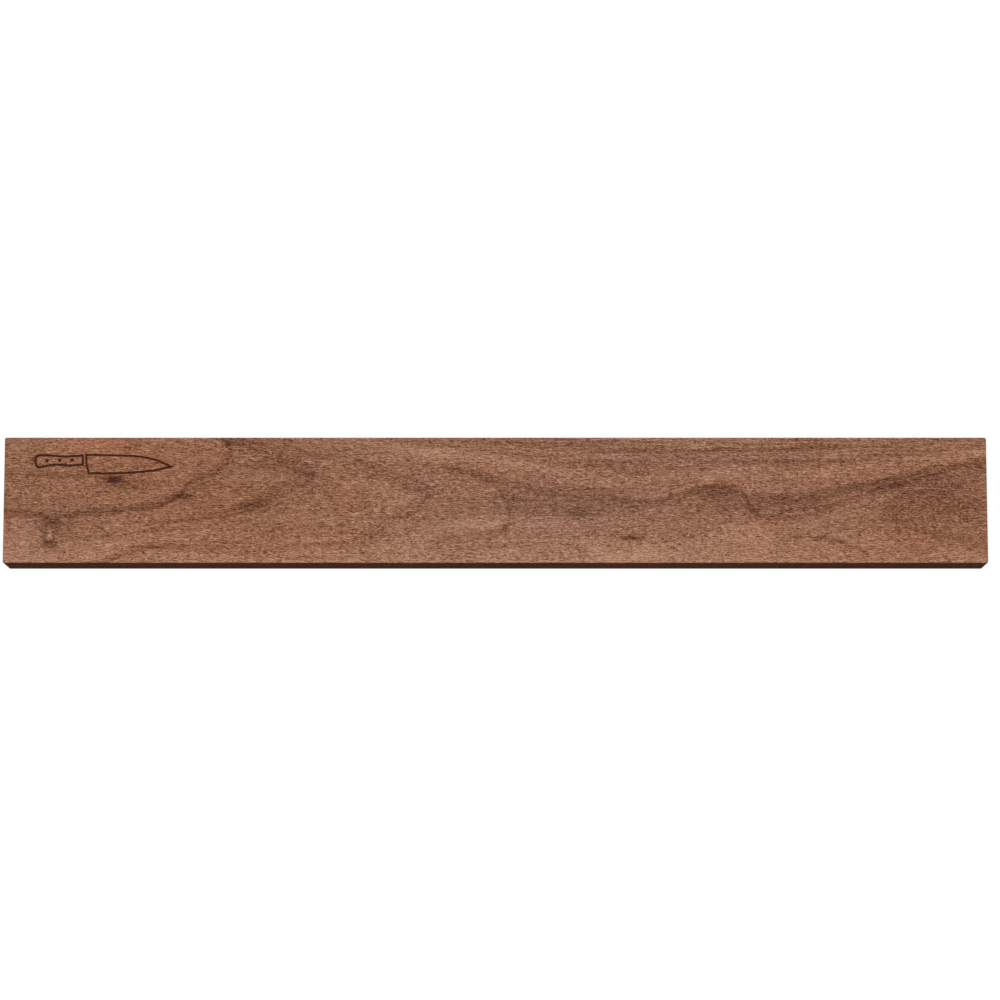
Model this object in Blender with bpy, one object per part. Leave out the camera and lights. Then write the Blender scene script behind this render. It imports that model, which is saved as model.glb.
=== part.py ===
"""Magnetic knife rack for a wall: a walnut board with two rows of block magnets let in from behind.

Run it with: blender --background --python part.py

The board's back face lies in the plane Y = 0, against the wall, and its front face looks along -Y.
The origin is the centre of the back face, +X runs along the board and +Z is up. Units are metres.
From the front skin backwards, the parts are: magnets in routed pockets, a steel yoke that joins the
two rows, a closing batten that fills the trough flush with the back, and six screws that hold it all.
A keyhole plate is let into the solid wood at each end, over a pocket for the wall screw's head.
"""

import math

import bmesh
import bpy

# Driving dimensions.
BOARD_LENGTH = 0.500
BOARD_HEIGHT = 0.0645
BOARD_DEPTH = 0.024
BOARD_EDGE_RADIUS = 0.0008
FRONT_SKIN = 0.002
GAP = 0.0003

MAGNET_LENGTH = 0.040
MAGNET_SIDE = 0.010
MAGNET_CHAMFER = 0.0004
MAGNETS_PER_ROW = 9
MAGNET_PITCH = 0.046
MAGNET_ROW_HEIGHT = 0.0125
POCKET_CLEARANCE = 0.0006
POCKET_CORNER_RADIUS = 0.0015

TROUGH_LENGTH = 0.424
TROUGH_HEIGHT = 0.040
TROUGH_CORNER_RADIUS = 0.006
YOKE_THICKNESS = 0.002

BATTEN_SCREW_COUNT = 6
BATTEN_SCREW_PITCH = 0.076
BATTEN_SCREW_LENGTH = 0.020
BATTEN_SCREW_HEAD_RADIUS = 0.0035
BATTEN_SCREW_THREAD_RADIUS = 0.0016

HANGER_SPACING = 0.460
HANGER_WIDTH = 0.018
HANGER_HEIGHT = 0.046
HANGER_THICKNESS = 0.0015
HANGER_SCREW_OFFSET = 0.0175
HANGER_SCREW_LENGTH = 0.012
HANGER_SCREW_HEAD_RADIUS = 0.0030
HANGER_SCREW_THREAD_RADIUS = 0.0014
KEYHOLE_ENTRY_RADIUS = 0.005
KEYHOLE_ENTRY_HEIGHT = -0.005
KEYHOLE_SLOT_RADIUS = 0.0026
KEYHOLE_SLOT_TOP = 0.0035
HEAD_POCKET_RADIUS = 0.006
HEAD_POCKET_DEPTH = 0.009

SCREW_HEAD_SINK = 0.0003
SCREW_HEAD_RIM = 0.0003

# Proportions of every screw, as shares of its thread's outer radius.
ROOT_SHARE = 0.7
PLAIN_SHANK_SHARE = 1.5
SHANK_STEP_SHARE = 0.3
THREAD_PITCH_SHARE = 0.87
POINT_SHARE = 0.3

# Proportions of a screw's cross recess, as shares of its head's radius.
RECESS_ARM_SHARE = 0.56
RECESS_HALF_WIDTH_SHARE = 0.14
RECESS_DEPTH_SHARE = 0.5
RECESS_NARROWING = 0.55

# How finely round shapes are divided.
SCREW_SIDES = 12
HOLE_SIDES = 20
ROUND_STEPS = 5
EDGE_STEPS = 3
SHARP_ABOVE_DEGREES = 35
SAME_POINT = 1e-7

# Colours are linear red, green and blue.
WALNUT_COLOUR = (0.28, 0.13, 0.075)
BATTEN_COLOUR = (0.25, 0.12, 0.07)
NICKEL_COLOUR = (0.66, 0.64, 0.60)
STEEL_COLOUR = (0.42, 0.42, 0.43)
ZINC_COLOUR = (0.62, 0.63, 0.65)

# Worked out from the driving dimensions. Depths are Y values, so they are negative inside the board.
FRONT_FACE = -BOARD_DEPTH
POCKET_FLOOR = FRONT_FACE + FRONT_SKIN
MAGNET_FRONT = POCKET_FLOOR + GAP
TROUGH_FLOOR = MAGNET_FRONT + MAGNET_SIDE
YOKE_FRONT = TROUGH_FLOOR + GAP
YOKE_BACK = YOKE_FRONT + YOKE_THICKNESS
BATTEN_FRONT = YOKE_BACK + GAP
BATTEN_BACK = 0.0
CUTTER_OVERRUN = 0.002


# Materials


def make_material(name, colour, roughness, metallic=0.0):
    material = bpy.data.materials.new(name)
    material.use_nodes = True
    shader = material.node_tree.nodes["Principled BSDF"]
    shader.inputs["Base Color"].default_value = (*colour, 1.0)
    shader.inputs["Roughness"].default_value = roughness
    shader.inputs["Metallic"].default_value = metallic
    return material


# Outlines in X and Z, as lists of points


def arc(centre_x, centre_z, radius, start_degrees, end_degrees, steps=ROUND_STEPS):
    """Points from one angle to the other, both included, anticlockwise with +X to the right and +Z up."""
    points = []
    for step in range(steps + 1):
        angle = math.radians(start_degrees + (end_degrees - start_degrees) * step / steps)
        points.append((centre_x + radius * math.cos(angle), centre_z + radius * math.sin(angle)))
    return points


def rounded_rectangle(width, height, radius, centre=(0.0, 0.0), steps=ROUND_STEPS):
    """A rectangle whose corners are quarter circles. A radius of half the smaller side makes a stadium."""
    right = width / 2 - radius
    top = height / 2 - radius
    x, z = centre
    points = arc(x + right, z + top, radius, 0, 90, steps)
    points += arc(x - right, z + top, radius, 90, 180, steps)
    points += arc(x - right, z - top, radius, 180, 270, steps)
    points += arc(x + right, z - top, radius, 270, 360, steps)
    return without_repeats(points)


def without_repeats(points):
    """Drops each point that lies on the one before it, as where two corner arcs meet."""
    kept = []
    for point in points:
        if not kept or math.dist(point, kept[-1]) > SAME_POINT:
            kept.append(point)
    if math.dist(kept[0], kept[-1]) <= SAME_POINT:
        kept.pop()
    return kept


def keyhole_outline(centre_x):
    """A round entry hole below, and a narrow slot that rises out of it to a round end."""
    meeting = math.degrees(math.asin(KEYHOLE_SLOT_RADIUS / KEYHOLE_ENTRY_RADIUS))
    slot_end = arc(centre_x, KEYHOLE_SLOT_TOP, KEYHOLE_SLOT_RADIUS, 0, 180, 2 * ROUND_STEPS)
    start, end = 90 + meeting, 450 - meeting
    return slot_end + arc(centre_x, KEYHOLE_ENTRY_HEIGHT, KEYHOLE_ENTRY_RADIUS, start, end, 4 * ROUND_STEPS)


# Solids


def add_prism(mesh, outline, front, back):
    """Extrudes an outline from Y = front to Y = back."""
    near = [mesh.verts.new((x, front, z)) for x, z in outline]
    far = [mesh.verts.new((x, back, z)) for x, z in outline]
    mesh.faces.new(near)
    mesh.faces.new(list(reversed(far)))
    for index in range(len(outline)):
        following = (index + 1) % len(outline)
        mesh.faces.new((near[following], near[index], far[index], far[following]))


def add_turned(mesh, profile, centre, sides):
    """Turns a profile of (radius, Y) points about a line along Y, where its first and last points lie."""
    x, z = centre
    first = mesh.verts.new((x, profile[0][1], z))
    last = mesh.verts.new((x, profile[-1][1], z))
    rings = [ring_of(mesh, radius, y, centre, sides) for radius, y in profile[1:-1]]
    for side in range(sides):
        following = (side + 1) % sides
        mesh.faces.new((first, rings[0][following], rings[0][side]))
        mesh.faces.new((last, rings[-1][side], rings[-1][following]))
        for nearer, farther in zip(rings, rings[1:]):
            mesh.faces.new((nearer[side], nearer[following], farther[following], farther[side]))


def ring_of(mesh, radius, y, centre, sides):
    turns = [2 * math.pi * side / sides for side in range(sides)]
    return [
        mesh.verts.new((centre[0] + radius * math.cos(turn), y, centre[1] + radius * math.sin(turn)))
        for turn in turns
    ]


def finish_mesh(name, mesh):
    bmesh.ops.recalc_face_normals(mesh, faces=mesh.faces)
    data = bpy.data.meshes.new(name)
    mesh.to_mesh(data)
    mesh.free()
    return data


def place(name, data, parent, material=None, location=(0.0, 0.0, 0.0)):
    """Puts a mesh into the scene as a named part of the rack."""
    obj = bpy.data.objects.new(name, data)
    bpy.context.scene.collection.objects.link(obj)
    obj.location = location
    obj.parent = parent
    if material is not None and not data.materials:
        data.materials.append(material)
    return obj


def prism_object(name, outline, front, back, parent, material):
    mesh = bmesh.new()
    add_prism(mesh, outline, front, back)
    return place(name, finish_mesh(name, mesh), parent, material)


def make_cutter(name, mesh):
    """A helper solid that a Boolean takes away. It is hidden, so it isn't a part."""
    cutter = place(name, finish_mesh(name, mesh), None)
    cutter.hide_render = True
    cutter.display_type = "WIRE"
    return cutter


def cut(obj, cutter):
    modifier = obj.modifiers.new("cut_" + cutter.name, "BOOLEAN")
    modifier.operation = "DIFFERENCE"
    modifier.object = cutter


def round_edges(obj, radius):
    modifier = obj.modifiers.new("edges", "BEVEL")
    modifier.width = radius
    modifier.segments = EDGE_STEPS
    modifier.limit_method = "ANGLE"


def shade_round(obj):
    obj.data.shade_smooth()
    obj.data.set_sharp_from_angle(angle=math.radians(SHARP_ABOVE_DEGREES))


# Where the repeated parts go


def batten_screw_places():
    """The centre of each batten screw, keyed by its number, counted from the left end."""
    first = -(BATTEN_SCREW_COUNT - 1) / 2 * BATTEN_SCREW_PITCH
    places = {}
    for index in range(BATTEN_SCREW_COUNT):
        places[str(index + 1)] = (first + index * BATTEN_SCREW_PITCH, 0.0)
    return places


def hanger_centres():
    return {"left": -HANGER_SPACING / 2, "right": HANGER_SPACING / 2}


def hanger_screw_places():
    """The centre of each keyhole plate's two screws, keyed by side and level."""
    places = {}
    for side, centre_x in hanger_centres().items():
        places[f"{side}_lower"] = (centre_x, -HANGER_SCREW_OFFSET)
        places[f"{side}_upper"] = (centre_x, HANGER_SCREW_OFFSET)
    return places


def magnet_places():
    """The centre of each magnet, keyed by row and number, counted from the left end."""
    first = -(MAGNETS_PER_ROW - 1) / 2 * MAGNET_PITCH
    places = {}
    for row, height in (("upper", MAGNET_ROW_HEIGHT), ("lower", -MAGNET_ROW_HEIGHT)):
        for number in range(MAGNETS_PER_ROW):
            places[f"{row}_{number + 1}"] = (first + number * MAGNET_PITCH, height)
    return places


# Wood screws


def countersunk_profile(head_radius, thread_radius, deep):
    """Profile of the cutter for a countersunk hole, a gap wider than the screw all round."""
    rim = -SCREW_HEAD_SINK - SCREW_HEAD_RIM
    neck = rim - (head_radius - thread_radius)
    return [
        (0.0, deep),
        (thread_radius + GAP, deep),
        (thread_radius + GAP, neck),
        (head_radius + GAP, rim),
        (head_radius + GAP, CUTTER_OVERRUN),
        (0.0, CUTTER_OVERRUN),
    ]


def thread_point(mesh, angle, radius, y):
    return mesh.verts.new((radius * math.cos(angle), y, radius * math.sin(angle)))


def add_thread(mesh, start_ring, start, tip, root_radius, crest_radius):
    """A helical thread from the ring where the plain shank ends down to a point on the axis."""
    pitch = THREAD_PITCH_SHARE * crest_radius
    sides = len(start_ring)
    steps = int((start - tip) / pitch * sides) - sides
    taper_steps = 2 * sides
    roots, crests = [], []
    for step in range(steps + 1):
        angle = 2 * math.pi * step / sides
        y = start - pitch * (step + 1) / sides
        taper = min(1.0, (steps - step) / taper_steps + POINT_SHARE)
        rise = min(1.0, step / sides, (steps - step) / sides)
        root = root_radius * taper
        roots.append(thread_point(mesh, angle, root, y))
        crest = root + (crest_radius - root_radius) * rise
        crests.append(thread_point(mesh, angle, crest, y - pitch / 2))
    for step in range(steps):
        mesh.faces.new((roots[step], roots[step + 1], crests[step + 1], crests[step]))
    for step in range(steps - sides):
        below = step + sides
        mesh.faces.new((crests[step], crests[step + 1], roots[below + 1], roots[below]))
    for side in range(sides):
        following = (side + 1) % sides
        mesh.faces.new((start_ring[side], start_ring[following], roots[side + 1], roots[side]))
    mesh.faces.new((start_ring[0], roots[0], crests[0], roots[sides]))
    point = mesh.verts.new((0.0, tip, 0.0))
    last_turn = crests[steps - sides:] + [roots[steps]]
    for upper, lower in zip(last_turn, last_turn[1:] + last_turn[:1]):
        mesh.faces.new((upper, lower, point))


def screw_mesh(name, length, head_radius, crest_radius):
    """A countersunk wood screw along Y, with its head's flat at Y = 0 and its point at Y = -length."""
    root_radius = ROOT_SHARE * crest_radius
    neck = -SCREW_HEAD_RIM - (head_radius - crest_radius)
    plain_end = neck - PLAIN_SHANK_SHARE * crest_radius
    thread_start = plain_end - SHANK_STEP_SHARE * crest_radius
    mesh = bmesh.new()
    top = mesh.verts.new((0.0, 0.0, 0.0))
    levels = [(head_radius, 0.0), (head_radius, -SCREW_HEAD_RIM), (crest_radius, neck)]
    levels += [(crest_radius, plain_end), (root_radius, thread_start)]
    rings = [ring_of(mesh, radius, y, (0.0, 0.0), SCREW_SIDES) for radius, y in levels]
    for side in range(SCREW_SIDES):
        following = (side + 1) % SCREW_SIDES
        mesh.faces.new((top, rings[0][following], rings[0][side]))
        for upper, lower in zip(rings, rings[1:]):
            mesh.faces.new((upper[side], upper[following], lower[following], lower[side]))
    add_thread(mesh, rings[-1], thread_start, -length, root_radius, crest_radius)
    return finish_mesh(name, mesh)


def cross_recess_cutter(name, head_radius):
    """A cross-shaped driver recess that narrows as it goes in."""
    arm = RECESS_ARM_SHARE * head_radius
    half_width = RECESS_HALF_WIDTH_SHARE * head_radius
    depth = RECESS_DEPTH_SHARE * head_radius
    corners = [(arm, -half_width), (arm, half_width), (half_width, half_width)]
    outline = []
    for quarter in range(4):
        cosine = math.cos(math.pi / 2 * quarter)
        sine = math.sin(math.pi / 2 * quarter)
        outline += [(x * cosine - z * sine, x * sine + z * cosine) for x, z in corners]
    mesh = bmesh.new()
    near = [mesh.verts.new((x, depth, z)) for x, z in outline]
    far = [mesh.verts.new((RECESS_NARROWING * x, -depth, RECESS_NARROWING * z)) for x, z in outline]
    mesh.faces.new(near)
    mesh.faces.new(list(reversed(far)))
    for index in range(len(outline)):
        following = (index + 1) % len(outline)
        mesh.faces.new((near[following], near[index], far[index], far[following]))
    return make_cutter(name, mesh)


def make_screws(prefix, places, length, head_radius, crest_radius, parent, material):
    """One screw at each place, all sharing one mesh. places maps a suffix to the screw's (X, Z)."""
    data = screw_mesh(prefix, length, head_radius, crest_radius)
    data.materials.append(material)
    for suffix, (x, z) in places.items():
        screw = place(f"{prefix}_{suffix}", data, parent, location=(x, -SCREW_HEAD_SINK, z))
        recess = cross_recess_cutter(f"recess_{prefix}_{suffix}", head_radius)
        recess.location = screw.location
        cut(screw, recess)
        shade_round(screw)


# The parts of the rack


def make_board(parent, material):
    """The walnut board, routed from behind and left whole at the front."""
    corners = [
        (-BOARD_LENGTH / 2, -BOARD_HEIGHT / 2),
        (BOARD_LENGTH / 2, -BOARD_HEIGHT / 2),
        (BOARD_LENGTH / 2, BOARD_HEIGHT / 2),
        (-BOARD_LENGTH / 2, BOARD_HEIGHT / 2),
    ]
    board = prism_object("front_board", corners, FRONT_FACE, 0.0, parent, material)
    round_edges(board, BOARD_EDGE_RADIUS)
    cut(board, trough_cutter())
    cut(board, pocket_cutter())
    cut(board, plate_recess_cutter())
    cut(board, head_pocket_cutter())
    cut(board, pilot_cutter())
    shade_round(board)


def trough_cutter():
    mesh = bmesh.new()
    outline = rounded_rectangle(TROUGH_LENGTH, TROUGH_HEIGHT, TROUGH_CORNER_RADIUS)
    add_prism(mesh, outline, TROUGH_FLOOR, CUTTER_OVERRUN)
    return make_cutter("cutter_trough", mesh)


def pocket_cutter():
    mesh = bmesh.new()
    length = MAGNET_LENGTH + 2 * POCKET_CLEARANCE
    height = MAGNET_SIDE + 2 * POCKET_CLEARANCE
    for centre in magnet_places().values():
        outline = rounded_rectangle(length, height, POCKET_CORNER_RADIUS, centre, steps=3)
        add_prism(mesh, outline, POCKET_FLOOR, TROUGH_FLOOR + CUTTER_OVERRUN)
    return make_cutter("cutter_magnet_pockets", mesh)


def plate_recess_cutter():
    mesh = bmesh.new()
    width = HANGER_WIDTH + 2 * GAP
    height = HANGER_HEIGHT + 2 * GAP
    for centre_x in hanger_centres().values():
        outline = rounded_rectangle(width, height, width / 2, (centre_x, 0.0), 2 * ROUND_STEPS)
        add_prism(mesh, outline, -HANGER_THICKNESS - GAP, CUTTER_OVERRUN)
    return make_cutter("cutter_plate_recesses", mesh)


def head_pocket_cutter():
    """Room behind each keyhole for the wall screw's head, from the entry hole up to the slot's end."""
    mesh = bmesh.new()
    height = KEYHOLE_SLOT_TOP - KEYHOLE_ENTRY_HEIGHT + 2 * HEAD_POCKET_RADIUS
    middle = (KEYHOLE_SLOT_TOP + KEYHOLE_ENTRY_HEIGHT) / 2
    for centre_x in hanger_centres().values():
        centre = (centre_x, middle)
        outline = rounded_rectangle(2 * HEAD_POCKET_RADIUS, height, HEAD_POCKET_RADIUS, centre)
        add_prism(mesh, outline, -HEAD_POCKET_DEPTH, CUTTER_OVERRUN)
    return make_cutter("cutter_head_pockets", mesh)


def pilot_cutter():
    """Holes for the screws' threads, a gap wider than the threads all round."""
    mesh = bmesh.new()
    radius = BATTEN_SCREW_THREAD_RADIUS + GAP
    floor = pilot_floor(BATTEN_SCREW_LENGTH)
    mouth = TROUGH_FLOOR + CUTTER_OVERRUN
    profile = [(0.0, floor), (radius, floor), (radius, mouth), (0.0, mouth)]
    for centre in batten_screw_places().values():
        add_turned(mesh, profile, centre, SCREW_SIDES)
    floor = pilot_floor(HANGER_SCREW_LENGTH)
    profile = countersunk_profile(HANGER_SCREW_HEAD_RADIUS, HANGER_SCREW_THREAD_RADIUS, floor)
    for centre in hanger_screw_places().values():
        add_turned(mesh, profile, centre, SCREW_SIDES)
    return make_cutter("cutter_pilot_holes", mesh)


def pilot_floor(screw_length):
    return -screw_length - SCREW_HEAD_SINK - GAP


def make_magnets(parent, material):
    outline = rounded_rectangle(MAGNET_LENGTH, MAGNET_SIDE, MAGNET_CHAMFER, steps=1)
    mesh = bmesh.new()
    add_prism(mesh, outline, 0.0, MAGNET_SIDE)
    data = finish_mesh("magnet", mesh)
    data.materials.append(material)
    for label, (x, z) in magnet_places().items():
        place(f"magnet_{label}", data, parent, location=(x, MAGNET_FRONT, z))


def trough_filler_outline():
    """The outline of the yoke and the batten, which fill the trough with a gap all round."""
    length = TROUGH_LENGTH - 2 * GAP
    height = TROUGH_HEIGHT - 2 * GAP
    return rounded_rectangle(length, height, TROUGH_CORNER_RADIUS - GAP)


def make_yoke(parent, material):
    """The mild steel strip behind the magnets that joins the two rows' poles."""
    outline = trough_filler_outline()
    yoke = prism_object("steel_yoke", outline, YOKE_FRONT, YOKE_BACK, parent, material)
    mesh = bmesh.new()
    radius = BATTEN_SCREW_THREAD_RADIUS + 2 * GAP
    low = YOKE_FRONT - CUTTER_OVERRUN
    high = YOKE_BACK + CUTTER_OVERRUN
    profile = [(0.0, low), (radius, low), (radius, high), (0.0, high)]
    for centre in batten_screw_places().values():
        add_turned(mesh, profile, centre, SCREW_SIDES)
    cut(yoke, make_cutter("cutter_yoke_holes", mesh))


def make_batten(parent, material):
    """The strip of wood that closes the trough flush with the board's back."""
    outline = trough_filler_outline()
    batten = prism_object("closing_batten", outline, BATTEN_FRONT, BATTEN_BACK, parent, material)
    mesh = bmesh.new()
    deep = BATTEN_FRONT - CUTTER_OVERRUN
    profile = countersunk_profile(BATTEN_SCREW_HEAD_RADIUS, BATTEN_SCREW_THREAD_RADIUS, deep)
    for centre in batten_screw_places().values():
        add_turned(mesh, profile, centre, HOLE_SIDES)
    cut(batten, make_cutter("cutter_batten_holes", mesh))


def make_hanger(side, centre_x, parent, material):
    """A steel keyhole plate with round ends, let in flush over its pocket."""
    centre = (centre_x, 0.0)
    outline = rounded_rectangle(HANGER_WIDTH, HANGER_HEIGHT, HANGER_WIDTH / 2, centre, 2 * ROUND_STEPS)
    plate = prism_object(f"keyhole_plate_{side}", outline, -HANGER_THICKNESS, 0.0, parent, material)
    keyhole = bmesh.new()
    add_prism(keyhole, keyhole_outline(centre_x), -HANGER_THICKNESS - CUTTER_OVERRUN, CUTTER_OVERRUN)
    cut(plate, make_cutter(f"cutter_keyhole_{side}", keyhole))
    holes = bmesh.new()
    deep = -HANGER_THICKNESS - CUTTER_OVERRUN
    profile = countersunk_profile(HANGER_SCREW_HEAD_RADIUS, HANGER_SCREW_THREAD_RADIUS, deep)
    for height in (-HANGER_SCREW_OFFSET, HANGER_SCREW_OFFSET):
        add_turned(holes, profile, (centre_x, height), HOLE_SIDES)
    cut(plate, make_cutter(f"cutter_plate_holes_{side}", holes))


def clear_scene():
    for obj in list(bpy.data.objects):
        bpy.data.objects.remove(obj)


def make_batten_screws(parent, material):
    make_screws(
        "batten_screw",
        batten_screw_places(),
        BATTEN_SCREW_LENGTH,
        BATTEN_SCREW_HEAD_RADIUS,
        BATTEN_SCREW_THREAD_RADIUS,
        parent,
        material,
    )


def make_hanger_screws(parent, material):
    make_screws(
        "plate_screw",
        hanger_screw_places(),
        HANGER_SCREW_LENGTH,
        HANGER_SCREW_HEAD_RADIUS,
        HANGER_SCREW_THREAD_RADIUS,
        parent,
        material,
    )


def main():
    clear_scene()
    walnut = make_material("walnut", WALNUT_COLOUR, 0.55)
    walnut_batten = make_material("walnut_batten", BATTEN_COLOUR, 0.6)
    nickel = make_material("nickel_plating", NICKEL_COLOUR, 0.25, metallic=1.0)
    steel = make_material("mild_steel", STEEL_COLOUR, 0.45, metallic=1.0)
    zinc = make_material("zinc_plating", ZINC_COLOUR, 0.35, metallic=1.0)

    rack = bpy.data.objects.new("rack", None)
    bpy.context.scene.collection.objects.link(rack)
    make_board(rack, walnut)
    make_magnets(rack, nickel)
    make_yoke(rack, steel)
    make_batten(rack, walnut_batten)
    make_batten_screws(rack, zinc)
    for side, centre_x in hanger_centres().items():
        make_hanger(side, centre_x, rack, zinc)
    make_hanger_screws(rack, zinc)


main()
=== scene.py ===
"""Looks of a magnetic knife rack: a walnut bar with a burnt-in mark, a batten, keyhole plates and screws.

Lengths in mesh code are metres. Lengths in the wood's figure are millimetres, because a board's grain is
drawn at that scale. +X runs along the bar, the front face looks along -Y, and the back face is Y = 0.
"""

import math

import bmesh
import bpy
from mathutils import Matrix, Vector, geometry


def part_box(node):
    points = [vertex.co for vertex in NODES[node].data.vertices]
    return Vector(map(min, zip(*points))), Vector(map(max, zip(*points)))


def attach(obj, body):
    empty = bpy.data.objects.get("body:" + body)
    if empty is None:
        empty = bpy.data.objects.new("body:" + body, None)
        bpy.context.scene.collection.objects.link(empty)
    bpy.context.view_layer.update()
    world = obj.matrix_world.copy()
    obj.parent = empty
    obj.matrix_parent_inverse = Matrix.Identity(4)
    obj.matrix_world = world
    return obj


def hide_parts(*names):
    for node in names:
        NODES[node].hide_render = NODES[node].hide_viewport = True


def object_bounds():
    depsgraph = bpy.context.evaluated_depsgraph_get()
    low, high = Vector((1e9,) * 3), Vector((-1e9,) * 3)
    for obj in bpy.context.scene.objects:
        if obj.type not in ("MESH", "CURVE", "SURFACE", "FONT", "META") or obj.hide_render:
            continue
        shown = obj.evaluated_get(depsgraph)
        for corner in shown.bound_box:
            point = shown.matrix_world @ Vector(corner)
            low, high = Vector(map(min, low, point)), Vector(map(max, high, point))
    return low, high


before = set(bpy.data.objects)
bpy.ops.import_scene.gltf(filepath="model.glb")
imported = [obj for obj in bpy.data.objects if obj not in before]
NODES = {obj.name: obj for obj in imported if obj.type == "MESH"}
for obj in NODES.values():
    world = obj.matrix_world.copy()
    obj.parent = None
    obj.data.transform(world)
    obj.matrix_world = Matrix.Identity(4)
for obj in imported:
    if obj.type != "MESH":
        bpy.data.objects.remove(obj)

CAD_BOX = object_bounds()
BODY = "root"

# Sizes that the frame's boxes don't give, in metres. The edge radii and the board's corner radius are chosen
# for looks, and the others are the design's own.
GAP = 0.0003
POCKET_CLEARANCE = 0.0006
BOARD_EDGE_RADIUS = 0.0005
BOARD_CORNER_RADIUS = 0.0010
BATTEN_EDGE_RADIUS = 0.00025
PLATE_EDGE_RADIUS = 0.00018
TROUGH_CORNER_RADIUS = 0.006
POCKET_CORNER_RADIUS = 0.0015
KEYHOLE_ENTRY_RADIUS = 0.005
KEYHOLE_ENTRY_HEIGHT = -0.005
KEYHOLE_SLOT_RADIUS = 0.0026
KEYHOLE_SLOT_TOP = 0.0035
HEAD_POCKET_RADIUS = 0.006
HEAD_POCKET_DEPTH = 0.009
SCREW_HEAD_RIM = 0.0003
THREAD_RADII = {"batten": 0.0016, "plate": 0.0014}

# How finely round shapes are divided, and how far a cutter overruns the face that it opens.
CORNER_STEPS = 10
CURVE_STEPS = 8
HOLE_SIDES = 48
RIVET_SIDES = 24
SCREW_SIDES = 32
SHARP_ABOVE_DEGREES = 35
OVERRUN = 0.002
SAME_POINT = 1e-7
SHARPEST_MITRE = 0.2

# The burnt-in mark, a chef's knife drawn in outline. Its points are in millimetres from its own corner.
MARK_LEFT = 0.0155
MARK_BELOW_TOP = 0.0184
MARK_LINE_WIDTH = 0.0011
MARK_DEPTH = 0.00035
MARK_OVERRUN = 0.0002
BLADE_POINTS = [
    (26.0, 9.4), (40.0, 9.2), (53.0, 8.6), (62.0, 6.6), (69.5, 3.4),
    (60.0, 1.3), (47.0, 0.2), (35.0, -0.1), (27.6, 0.0), (26.4, 4.1),
]
HANDLE_POINTS = [
    (24.4, 9.1), (15.0, 8.6), (6.0, 9.2), (1.2, 8.8), (0.3, 6.0),
    (1.6, 3.2), (5.6, 3.7), (11.0, 4.4), (18.0, 4.0), (24.4, 4.4),
]
# Each closed line with the numbers of its sharp points.
MARK_LINES = [(BLADE_POINTS, {0, 4, 8, 9}), (HANDLE_POINTS, {0, 9})]
RIVET_POINTS = [(6.2, 6.4), (12.6, 6.6), (19.0, 6.7)]

# The camera stands in front of the bar and a little below it.
CAMERA_DISTANCE = 1.864
CAMERA_ELEVATION_DEGREES = -7.94
CAMERA_LENS_MM = 132.0
CAMERA_CLIP = (0.05, 40.0)
CAMERA_AIM = Vector((0.0023, CAD_BOX[0].y, 0.0001))

FLOOR_DROP = 1.3
FLOOR_RADIUS = 9.0


# Colours


def linear(red, green, blue):
    """Linear RGBA of a colour given as it shows on a screen, 0 to 255."""
    channels = []
    for value in (red, green, blue):
        share = value / 255
        channels.append(share / 12.92 if share <= 0.04045 else ((share + 0.055) / 1.055) ** 2.4)
    return (*channels, 1.0)


# Node formulas

# How square to the axes a face is, from 1, exactly square, down to 1/3.
FLAT_ABOVE = 0.98
EASED_BELOW = 0.60


class Varying:
    """A node socket whose value varies over a surface."""

    def __init__(self, tree, socket):
        self.tree = tree
        self.socket = socket

    def operate(self, operation, *others):
        """The outputs of a node that applies an operation to this and the others."""
        node = self.tree.nodes.new(self.math_node)
        node.operation = operation
        for slot, item in zip(node.inputs, (self, *others)):
            feed(self.tree, item, slot)
        return node.outputs


class Value(Varying):
    """A number that takes part in sums as a plain number would."""

    math_node = "ShaderNodeMath"

    def math(self, operation, *others):
        return Value(self.tree, self.operate(operation, *others)[0])

    def __add__(self, other):
        return self.math("ADD", other)

    def __sub__(self, other):
        return self.math("SUBTRACT", other)

    def __mul__(self, other):
        return self.math("MULTIPLY", other)

    def smooth_max(self, other, distance):
        return self.math("SMOOTH_MAX", other, distance)

    def smooth_step(self, low, high):
        """0 below low, 1 above high, and a soft rise between. low above high makes a fall."""
        node = self.tree.nodes.new("ShaderNodeMapRange")
        node.interpolation_type = "SMOOTHSTEP"
        feed(self.tree, self, node.inputs["Value"])
        node.inputs["From Min"].default_value = low
        node.inputs["From Max"].default_value = high
        return Value(self.tree, node.outputs["Result"])

    def shaped(self, points):
        """The value sent through a curve of given (from, to) points between 0 and 1."""
        node = self.tree.nodes.new("ShaderNodeFloatCurve")
        draw_curve(node.mapping, points)
        feed(self.tree, self, node.inputs["Value"])
        return Value(self.tree, node.outputs["Value"])


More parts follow.
